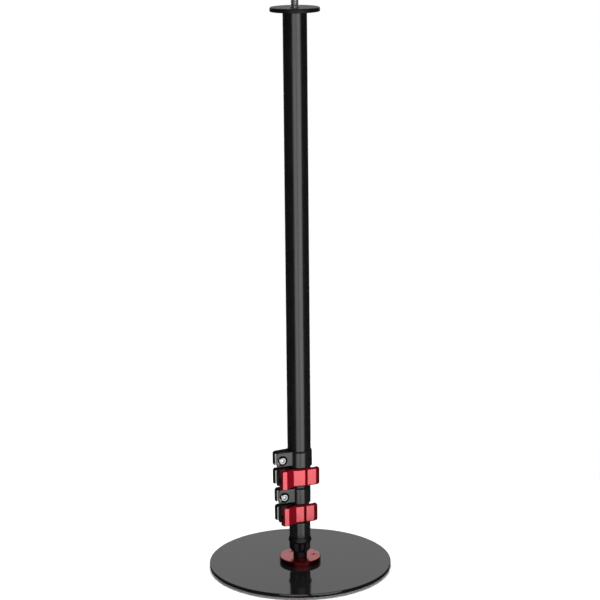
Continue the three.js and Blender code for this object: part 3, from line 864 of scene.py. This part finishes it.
@dataclass
class TubeSection:
    """One tube of the column."""

    node: str
    body: str
    diameter: float
    low: float
    high: float
    peg_height: float | None = None
    peg_hole: float = 2.25
    wall: float = 1.2
    ease: float = 0.2

    def build(self) -> None:
        """Makes the tube, with eased ends and its peg holes."""
        low, high, ease, radius = self.low, self.high, self.ease, self.diameter / 2
        inner = radius - self.wall
        tube = lathe([
            (inner, low + ease), (inner + ease, low), (radius - ease, low), (radius, low + ease),
            (radius, high - ease), (radius - ease, high),
            (inner + ease, high), (inner, high - ease),
        ], 128)
        if self.peg_height is not None:
            hole = placed(rod(self.peg_hole, -radius - 2, radius + 2, steps=32), LAID_ALONG_Y)
            combine(tube, [placed(hole, shift(0, 0, self.peg_height))])
        finished(tube, Look.TUBE_BLACK, self.body, self.node)


@dataclass
class Head:
    """The camera plate and its threaded screw."""

    body: str = "upper_section"
    low: float = 670.5
    top: float = 675.5
    radius: float = 28.8
    bevel: float = 0.7
    top_round: float = 1.5
    bore: float = 5.0
    screw_radius: float = 4.75
    screw_low: float = 658.5
    screw_top: float = 686.5
    thread_gap: float = 0.4
    pitch: float = 1.5875
    thread_share: float = 0.58
    turn_rows: int = 10
    tip: Point2 = (1.3, 0.7)

    def build(self) -> None:
        """Makes the plate and the screw."""
        outline = [(self.bore, self.low)]
        outline += round_corner((self.radius, self.low), (-1, 0), (0, 1), self.bevel)
        outline += round_corner((self.radius, self.top), (0, -1), (-1, 0), self.top_round, 6)
        outline += [(self.bore + 0.2, self.top), (self.bore, self.top - 0.2)]
        finished(lathe(outline, 160), Look.PLATE_BLACK, self.body, "camera_plate")
        start, run = self.top + self.thread_gap, self.screw_top - self.top - self.thread_gap
        count = int(run / self.pitch * self.turn_rows)
        rows = [self.screw_low, start - 0.02] + [start + run * i / count for i in range(count + 1)]
        screw = surface(rows, 40, self.thread_radius)
        finished(screw, Look.SCREW_STEEL, self.body, "camera_screw", 60)

    def thread_radius(self, angle: float, height: float) -> float:
        """The screw's radius at a place: plain below, a helix above, then a tapered tip."""
        start = self.top + self.thread_gap
        if height < start:
            return self.screw_radius
        taper, narrowing = self.tip
        wave = abs(2 * ((height / self.pitch - angle / tau) % 1.0) - 1)
        crest = min(1.0, max(0.0, wave * 1.35 - 0.12))
        fade = min(1.0, max(0.0, (self.screw_top - height) / taper))
        grown = min(1.0, (height - start) / self.pitch + 0.2)
        cut = self.thread_share * self.pitch * (1 - crest) * grown
        return self.screw_radius - cut - narrowing * (1 - fade)


# Flip locks


@dataclass
class FlipLock:
    """One split clamp with its bolts and its lever.

    It is made with its origin on the axis at the lock's top, its ears along -X and its lever
    across -Y, and then turned and raised to its place.
    """

    name: str
    body: str
    lever_body: str
    top: float
    clamped: float
    gripped: float
    turn: float = radians(24.4)
    height: float = 43.5
    clamp_wall: float = 1.15
    grip_wall: float = 1.3
    grip_gap: float = 0.3
    bolt_in: float = 6.8
    pivot_in: float = 5.7
    slot_half: float = 2.75
    tip_half: float = 6.65
    root_half: float = 8.5
    ear_length: float = 16.8
    top_corner: float = 2.8
    low_corner: float = 1.5
    upper_ears: Point2 = (-17.3, -0.5)
    lower_ears: Point2 = (-41.0, -21.5)
    saw_cut: Point2 = (-21.4, -20.0)
    bore_step: float = -18.0
    recess_floor: float = 4.4
    recess_radius: float = 6.25
    near_mouth: float = 2.25
    far_mouth: float = 1.7
    mouth_beyond: float = 1.3
    bare_length: float = 4.0
    bare_tops: Point2 = (-3.4, -24.4)
    washer: float = 0.8
    washer_radius: float = 5.0
    nut_width: float = 8.0
    nut_height: float = 2.7
    tension_nut_width: float = 7.0
    tension_nut_height: float = 4.0
    stub: float = 0.7
    head_height: float = 4.6
    head_radius: float = 4.25
    key_width: float = 4.0
    key_depth: float = 2.4
    bolt_hole: float = 2.75
    tension_hole: float = 2.25
    gap: float = 0.25
    edge_round: float = 2.0
    end_round: float = 3.8
    knuckle_round: float = 1.2
    valley_in: float = 1.05
    fold_run: float = 1.2
    facet_start: float = 0.45
    groove: float = -0.3
    groove_depth: float = 1.6
    bolt_drop: float = 10.0
    lever_top: float = -20.6
    lever_low: float = -42.6
    lever_open: float = radians(100)
    knuckle: float = 5.5
    knuckle_flat: float = 4.90
    knuckle_arc: Point2 = (radians(20), radians(310))
    flat_angle: float = radians(263)
    facet_lag: float = 0.5
    web_end: float = 0.69
    swing_half: float = 2.6
    pin_radius: float = 3.75
    bolt_room: float = 7.5
    pad_thickness: float = 1.0
    pad_half: Point2 = (5.0, 9.0)

    def __post_init__(self) -> None:
        """Works out the sizes that the lock's pieces share."""
        self.clamp_bore = self.clamped / 2 + self.gap
        self.clamp_radius = self.clamp_bore + self.clamp_wall
        self.grip_bore = self.gripped / 2 + self.grip_gap
        self.grip_radius = self.grip_bore + self.grip_wall
        self.reach = self.clamp_radius + self.ear_length
        self.bolt_x = self.bolt_in - self.reach
        self.pivot_x = self.pivot_in - self.reach
        self.pivot_y = -(self.tip_half + self.pad_thickness + 2 * self.gap + self.knuckle)
        self.middle = (self.lever_top + self.lever_low) / 2
        self.lever_end = self.grip_radius - 0.6
        self.places = shift(0, 0, self.top) @ Matrix.Rotation(self.turn, 4, "Z")

    def build(self) -> None:
        """Makes every piece of the lock."""
        self.collar()
        self.lever()
        self.clamp_fasteners()
        self.tension_fasteners()
        self.pad()

    def keep(self, obj: Solid, finish: Look, piece: str, angle: float = 28.0) -> None:
        """Puts a piece in its place on the column and finishes it."""
        body = self.lever_body if piece == "lever" else self.body
        finished(placed(obj, self.places), finish, body, f"{self.name}_{piece}", angle)

    def across(self, obj: Solid, x: float, z: float) -> Solid:
        """Lays a piece that was made along Z across the ears."""
        return placed(placed(obj, LAID_ALONG_Y), shift(x, 0, z))

    def ears(self, low: float, high: float, root_half: float) -> Solid:
        """A block for a pair of ears, narrowing towards its rounded tip."""
        root, inside = -self.clamp_radius, -2.0
        outline = [(inside, low), (root, low)]
        outline += round_corner((-self.reach, low), (1, 0), (0, 1), self.low_corner, 5)
        outline += round_corner((-self.reach, high), (0, -1), (1, 0), self.top_corner, 7)
        outline += [(root, high), (inside, high)]

        def half(x: float) -> float:
            share = min(1.0, (x + self.reach) / (root + self.reach))
            return self.tip_half + (root_half - self.tip_half) * share

        count = len(outline)
        vertices = [(x, side * half(x), z) for side in (-1, 1) for x, z in outline]
        inner = [0, 1, count - 2, count - 1]
        outer = list(range(1, count - 1))
        faces = [inner, [count + i for i in inner][::-1], outer, [count + i for i in outer][::-1]]
        return soften(mesh_object(vertices, faces + walls(count)), 0.45, 3, 30)

    def collar(self) -> None:
        """The split casting, with its ears, slots and bolt holes."""
        clamp, grip, under = self.clamp_radius, self.grip_radius, -self.height - 2
        outline = [(0.0, 0.0), (clamp - 1.05, 0.0), (clamp - 0.95, -0.08), (clamp - 0.06, -1.7)]
        outline += [(clamp, -1.95), (clamp, -19.5), (clamp - 0.12, -19.9), (grip + 0.1, -21.3)]
        outline += [(grip, -21.6)]
        outline += round_corner((grip, -self.height), (0, 1), (-1, 0), 0.35, 3)
        outline.append((0.0, -self.height))
        upper = self.ears(*self.upper_ears, self.root_half)
        lower = self.ears(*self.lower_ears, self.tip_half)
        shell = combine(lathe(outline, 144), [upper, lower], "UNION")
        reach, slot, step = self.reach + 3, self.slot_half, self.bore_step
        cutters = [
            lathe([
                (0, 2), (self.clamp_bore, 2), (self.clamp_bore, step),
                (self.grip_bore, step), (self.grip_bore, under), (0, under),
            ], 144),
            block((-reach, -slot, under), (0, slot, 2)),
            block((-reach, -reach, self.saw_cut[0]), (clamp * 0.45, reach, self.saw_cut[1])),
            self.across(rod(self.bolt_hole, -reach, reach, steps=40), self.bolt_x, -self.bolt_drop),
            self.across(rod(self.tension_hole, -reach, reach, steps=32), self.pivot_x, self.middle),
        ]
        wide = self.recess_radius
        for side in (-1, 1):
            deep, out = side * self.recess_floor, side * 20
            recess = lathe([(0, deep), (wide, deep), (wide, out), (0, out)], 64)
            cutters.append(self.across(recess, self.bolt_x, -self.bolt_drop))
        near, far, tip, beyond = self.near_mouth, self.far_mouth, -self.reach, self.mouth_beyond
        cutters.append(prism([
            (tip - beyond, -slot - near - beyond), (tip + near, -slot),
            (tip + far, slot), (tip - beyond, slot + far + beyond),
        ], under, 2))
        combine(shell, cutters)
        # Split the slot's faces so that only their lower part near the tip is sawn bare; the rest
        # gets painted shade.
        split(shell, (tip + self.bare_length, 0, 0), (1, 0, 0))
        for height in self.bare_tops:
            split(shell, (0, 0, height), (0, 0, 1))
        finish_faces(
            shell, (Look.CAST_BLACK, Look.BARE, Look.CAST_MATT),
            lambda face: self.collar_finish(face, shell.data.vertices),
        )
        self.keep(shell, Look.CAST_BLACK, "collar")

    def collar_finish(self, face: Face, vertices: Sequence[bpy.types.MeshVertex]) -> int:
        """Which finish a face of the collar has: 0 black paint, 1 sawn bare, 2 painted shade, a
        darker and rougher copy of the black paint.
        """
        middle, normal = face.center / MM, face.normal
        corners = [vertices[i].co / MM for i in face.vertices]
        from_bolt = max(hypot(c.x - self.bolt_x, c.z + self.bolt_drop) for c in corners)
        in_recess = from_bolt < self.recess_radius + 0.05 and abs(middle.y) > self.slot_half + 0.5
        in_slot = abs(middle.y) < self.slot_half + self.far_mouth and middle.x < -self.grip_bore
        if in_slot and normal.y < -0.99:
            upper, lower = self.bare_tops
            below_top = middle.z < lower or self.saw_cut[1] < middle.z < upper
            return 1 if below_top and middle.x < self.bare_length - self.reach else 2
        at_tip = normal.x < -0.6 and middle.x < -self.clamp_radius - 4
        # Painted shade on the slot, the bolt recesses, the ear tips and every upward face.
        return 2 if in_slot or in_recess or at_tip or normal.z > 0.6 else 0

    def lever_outline(self, inset: float) -> Outline:
        """The lever in plan: knuckle, web, two facets with a groove between them, and the free end.

        Args:
            inset: how far the front is moved back, towards the rounded edges.

        Returns:
            The outline, always with the same count of points.
        """
        inner, valley = self.grip_radius + 0.8, -(self.grip_radius + 0.4)
        crest, fold = -(inner + 2.6), self.valley_in - self.grip_radius
        end, tip = self.lever_end, self.grip_radius + 6.1
        pivot = (self.pivot_x, self.pivot_y)
        flat, half_flat = self.flat_angle, acos(self.knuckle_flat / self.knuckle)
        first, last = self.knuckle_arc
        outline = arc(pivot, self.knuckle, first, flat - half_flat, 34)
        outline += arc(pivot, self.knuckle, flat + half_flat, last, 5)
        if self.fold_run > 0:
            outline.append((fold - 1.0, valley + 0.2 + 0.5 * inset))
            outline.append((fold, valley - 0.1 + 0.8 * inset))
        depth = self.groove_depth * (1 - 0.8 * inset / self.edge_round)
        front, start = crest + inset, self.groove
        outline += [(fold + self.fold_run, valley - self.facet_start + inset), (start, front)]
        outline += [(start + 2.4, front + depth), (start + 3.5, front)]
        one, two = (end, front - self.facet_lag), (tip - inset, front - self.facet_lag)
        three = (tip - inset, front + 2.6)
        outline.append(one)
        for t in (i / 8 for i in range(1, 9)):
            p, q, r = (1 - t) ** 2, 2 * t * (1 - t), t * t
            outline.append(tuple(p * a + q * b + r * c for a, b, c in zip(one, two, three)))
        outline.append((tip - 1.4 - 0.7 * inset, crest + 3.9 + 0.6 * inset))
        outline.append((end + 1.5, crest + 2.1 + 0.2 * inset))
        outline += arc((0, 0), inner, -pi / 2, -pi * self.web_end, 12)
        return outline + [(valley + 0.65, valley + 2.6)]

    def lever_blank(self) -> Solid:
        """The lever before it is cut, its front rounded over towards both edges."""
        under = [(1.2, 0.0), (0.85, 0.12), (0.5, 0.35), (0.2, 0.8), (0.0, 1.5)]
        over = [(0.0, 2.5), (0.1, 2.0), (0.5, 1.3), (1.3, 0.4), (1.75, 0.0)]
        rows = [(self.lever_low + rise, inset) for inset, rise in under]
        rows += [(self.lever_top - rise, inset) for inset, rise in over]
        return stack([level for level, _ in rows], [self.lever_outline(inset) for _, inset in rows])

    def lever(self) -> None:
        """The red lever, cut for its pin and its bolt."""
        low, high, end, near = self.lever_low, self.lever_top, self.end_round, self.knuckle_round
        left, right = self.pivot_x - self.knuckle - 0.01, self.grip_radius + 6.11
        face = round_corner((left, low), (0, 1), (1, 0), near)
        face += round_corner((right, low), (-1, 0), (0, 1), end, 8)
        face += round_corner((right, high), (0, -1), (-1, 0), end, 8)
        face += round_corner((left, high), (1, 0), (0, -1), near)
        trim = placed(prism([(x, -z) for x, z in face], -40, 40), LAID_ALONG_Y)
        lever = soften(combine(self.lever_blank(), [trim], "INTERSECT"), 0.35, 3, 38)
        pivot = shift(self.pivot_x, self.pivot_y)
        cutters = [placed(rod(self.pin_radius + self.gap, low - 2, high + 2, steps=48), pivot)]
        half, room, side = self.tension_hole, self.bolt_room, self.swing_half
        swing = [(0.0, 0.0)] + arc((0, 0), room, pi / 2, radians(190), 20)
        closed = [(-half, 0), (half, 0), (half, room), (-half, room)]
        opened = [tuple(Matrix.Rotation(self.lever_open, 2) @ Vector(p)) for p in closed]
        for plan in (swing, closed, opened):
            cutters.append(placed(prism(plan, self.middle - side, self.middle + side), pivot))
        combine(lever, cutters)
        # Painted shade: the lever's edges, groove, end and knuckle side get a darker copy of the
        # red.
        finish_faces(lever, (Look.LEVER_RED, Look.LEVER_EDGE), self.lever_finish)
        self.keep(lever, Look.LEVER_RED, "lever", 24)

    def lever_finish(self, face: Face) -> int:
        """Which finish a face of the lever has: 0 the red front, 1 painted shade, a darker copy on
        its edges, groove, end and knuckle side.
        """
        x, z, place = face.normal.x, abs(face.normal.z), face.center.x
        in_groove = x < -0.45 and place > self.groove * MM
        at_end = x > 0.08 and place > self.lever_end * MM
        at_knuckle = x < -0.54 and place < self.pivot_x * MM
        return 1 if z > 0.4 or in_groove or at_end or at_knuckle else 0

    def clamp_fasteners(self) -> None:
        """The clamp's bolt, washer and locking nut."""
        x, z, hole, rim = self.bolt_x, -self.bolt_drop, self.bolt_hole, self.washer_radius
        face = self.recess_floor + self.gap
        far, top = face + self.washer, face + self.head_height
        inner = -(far + self.gap)
        end = inner - self.nut_height
        bolt = rod(hole - self.gap, end - self.stub, face, 0.4, 48)
        combine(bolt, [rod(self.head_radius, face, top, 0.5)], "UNION")
        combine(bolt, [prism(hexagon(self.key_width), top - self.key_depth, 12)])
        self.keep(self.across(bolt, x, z), Look.STEEL, "clamp_bolt")
        washer = lathe([
            (hole, -face), (rim - 0.1, -face), (rim, -face - 0.1),
            (rim, 0.1 - far), (rim - 0.1, -far), (hole, -far),
        ], 64)
        self.keep(self.across(washer, x, z), Look.WASHER, "clamp_washer")
        nut = self.nut(self.nut_width, hole, inner, end)
        self.keep(self.across(nut, x, z), Look.STEEL, "clamp_nut")

    def nut(self, width: float, hole: float, inner: float, outer: float) -> Solid:
        """A hexagon nut, its outer corners turned off, from its inner to its outer end."""
        sign = 1 if outer > inner else -1
        low, high = sorted((inner, outer))
        radius = width / 2 / cos(pi / 6)
        trim = lathe([
            (0, inner - sign), (radius + 1, inner - sign), (radius + 1, inner + sign * 0.1),
            (radius + 0.05, outer - sign * 0.75), (width / 2, outer - sign * 0.3),
            (width / 2 - 0.35, outer), (0, outer + sign * 0.02),
        ], 64)
        body = combine(prism(hexagon(width, 0.5), low, high), [trim], "INTERSECT")
        return combine(body, [rod(hole, low - 2, high + 2, steps=40)])

    def tension_fasteners(self) -> None:
        """The lever's barrel pin, its bolt and the adjusting nut."""
        x, z, hole = self.pivot_x, self.middle, self.tension_hole
        start, inner = self.pivot_y - self.bolt_room / 4, self.tip_half + self.gap
        outer = inner + self.tension_nut_height
        bolt = rod(hole - self.gap, start, outer + self.stub, 0.3, 40)
        self.keep(self.across(bolt, x, z), Look.STEEL, "tension_bolt")
        nut = self.nut(self.tension_nut_width, hole, inner, outer)
        self.keep(self.across(nut, x, z), Look.STEEL, "tension_nut")
        pin = rod(self.pin_radius, self.lever_low + 0.6, self.lever_top - 0.6, 0.4)
        through = rod(hole, start - self.gap, self.pivot_y + self.bolt_room, steps=32)
        combine(placed(pin, shift(x, self.pivot_y)), [self.across(through, x, z)])
        self.keep(pin, Look.PIN_STEEL, "barrel_pin")

    def pad(self) -> None:
        """The nylon plate that the knuckle bears on."""
        x, z, (wide, tall) = self.pivot_x, self.middle, self.pad_half
        back = -self.tip_half - self.gap
        plate = block((x - wide, back - self.pad_thickness, z - tall), (x + wide, back, z + tall))
        soften(plate, 0.25, 2)
        combine(plate, [self.across(rod(self.tension_hole, -30, 30, steps=32), x, z)])
        self.keep(plate, Look.NYLON_BLACK, "cam_plate")


# Studio


@dataclass(frozen=True)
class SoftLight:
    """One rectangular soft light.

    Args:
        name: its name.
        azimuth: where it stands, in degrees from the camera's side towards +X.
        distance: how far from the column, in metres.
        height: height of its middle, in metres.
        size: width and height, in metres.
        radiance: how bright its surface is.
        aim: height that it faces, in metres.
        mirrored: whether glossy surfaces show it.
    """

    name: str
    azimuth: float
    distance: float
    height: float
    size: Point2
    radiance: float
    aim: float
    mirrored: bool = True

    def build(self) -> None:
        """Makes the light and hides it from the camera."""
        data = bpy.data.lights.new(self.name, "AREA")
        data.shape = "RECTANGLE"
        data.size, data.size_y = self.size
        data.energy = self.radiance * pi * self.size[0] * self.size[1]
        light = bpy.data.objects.new(self.name, data)
        bpy.context.scene.collection.objects.link(light)
        angle = radians(self.azimuth)
        light.location = (self.distance * sin(angle), -self.distance * cos(angle), self.height)
        facing = Vector((0, 0, self.aim)) - light.location
        light.rotation_euler = facing.to_track_quat("-Z", "Y").to_euler()
        light.visible_camera = False
        light.visible_glossy = self.mirrored


@dataclass
class Studio:
    """The floor, the lights and the camera, in metres."""

    floor_radius: float = 0.5
    floor_depth: float = 0.02
    floor_pales: Point2 = (0.9, 0.93)
    floor_glow: float = 0.08
    backdrop: float = 1.0
    room: float = 0.03
    lights: tuple[SoftLight, ...] = (
        SoftLight("front_left", -8.0, 1.9, 0.075, (1.16, 1.55), 2.75, 0.075),
        SoftLight("front_right", 31.75, 1.9, 0.075, (1.29, 1.55), 3.3, 0.075),
        SoftLight("back_sky", 180.0, 2.6, 1.95, (5.0, 2.2), 0.78, 0.1),
        SoftLight("back_low", 180.0, 3.0, 0.45, (5.0, 1.0), 0.12, 0.45),
        SoftLight("rear", 180.0, 1.9, -0.35, (0.8, 1.4), 2.6, -0.35),
        SoftLight("overhead", 0.0, 0.05, 2.4, (1.7, 1.7), 8.5, 0.0, False),
    )
    focal: float = 115.48
    place: Point3 = (0.0, -2.202, 0.8685)
    pitch: float = radians(13.67)
    roll: float = radians(-0.56)
    yaw: float = radians(0.073)

    def build(self) -> None:
        """Makes the stage, the lights and the camera."""
        self.floor()
        self.surroundings()
        for light in self.lights:
            light.build()
        self.camera()

    def floor(self) -> None:
        """A plain pale round floor."""
        radius, low = self.floor_radius / MM, -self.floor_depth / MM
        floor = lathe([(0, low), (radius, low), (radius, 0), (0, 0)], 128)
        floor.name = "floor"
        material = bpy.data.materials.new("pale_floor")
        material.use_nodes = True
        graph = Graph(material.node_tree)
        noise = graph.noise(30, (1.0, 1.0, 1.0), 3.0)
        graph.fill(graph.shader(), {
            "Base Color": graph.ramp(noise, (0.3, 0.7), [(pale,) * 3 for pale in self.floor_pales]),
            "Roughness": 0.9, "Emission Color": WHITE, "Emission Strength": self.floor_glow,
        })
        floor.data.materials.append(material)
        floor.visible_glossy = False

    def surroundings(self) -> None:
        """A white backdrop for the camera, and a dim room for the reflections."""
        world = bpy.data.worlds.new("studio")
        world.use_nodes = True
        graph = Graph(world.node_tree)
        graph.tree.nodes.clear()
        room, backdrop = (
            graph.add("ShaderNodeBackground", "Background", {"Color": WHITE, "Strength": strength})
            for strength in (self.room, self.backdrop)
        )
        seen = graph.add("ShaderNodeLightPath", "Is Camera Ray", {})
        mix = graph.add("ShaderNodeMixShader", "Shader", {"Fac": seen, 1: room, 2: backdrop})
        graph.fill(graph.tree.nodes.new("ShaderNodeOutputWorld"), {"Surface": mix})
        bpy.context.scene.world = world
        bpy.context.scene.view_settings.view_transform = "Standard"
        bpy.context.scene.view_settings.look = "None"

    def camera(self) -> None:
        """The camera at the photograph's view."""
        data = bpy.data.cameras.new("camera")
        data.lens = self.focal
        data.sensor_width = 36.0
        data.sensor_fit = "HORIZONTAL"
        data.clip_start = 0.05
        camera = bpy.data.objects.new("camera", data)
        bpy.context.scene.collection.objects.link(camera)
        level = cos(self.pitch)
        ahead = Vector((sin(self.yaw) * level, cos(self.yaw) * level, -sin(self.pitch)))
        right = Vector((cos(self.yaw), -sin(self.yaw), 0.0))
        above = right.cross(ahead)
        across = right * cos(self.roll) + above * sin(self.roll)
        upward = above * cos(self.roll) - right * sin(self.roll)
        turn = Matrix((across, upward, -ahead)).transposed().to_4x4()
        camera.matrix_world = Matrix.Translation(Vector(self.place)) @ turn
        bpy.context.scene.camera = camera


def paint_frame() -> None:
    """Gives every CAD node that still shows its finish."""
    slots = {part["node"]: part["material_slot"] for part in frame["record"]["subparts"]}
    for name, obj in frame["nodes"].items():
        if obj.hide_render:
            continue
        obj.data.materials.clear()
        obj.data.materials.append(Look.of_slot(slots[name]).material())
        LOG.info("%s keeps its frame shape, in %s", name, slots[name])


def main() -> None:
    """Builds the stage and every sub-assembly."""
    logging.basicConfig(level=logging.INFO, format="%(message)s")
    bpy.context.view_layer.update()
    Studio().build()
    RoundBase().build()
    Foot().build()
    TubeSection("lower_tube", "base", 20.0, 43.4, 611.5, 589.5).build()
    TubeSection("middle_tube", "middle_section", 24.0, 85.55, 656.5, 634.5).build()
    TubeSection("upper_tube", "upper_section", 28.0, 131.95, 670.5).build()
    Head().build()
    FlipLock(
        "lower_lock", "middle_section", "lower_lever", 103.3, 24.0, 20.0, valley_in=1.2,
        fold_run=0.0, facet_start=1.36, groove=-1.3,
    ).build()
    FlipLock("upper_lock", "upper_section", "upper_lever", 149.7, 28.0, 24.0).build()
    paint_frame()


if __name__ == "__main__":
    main()
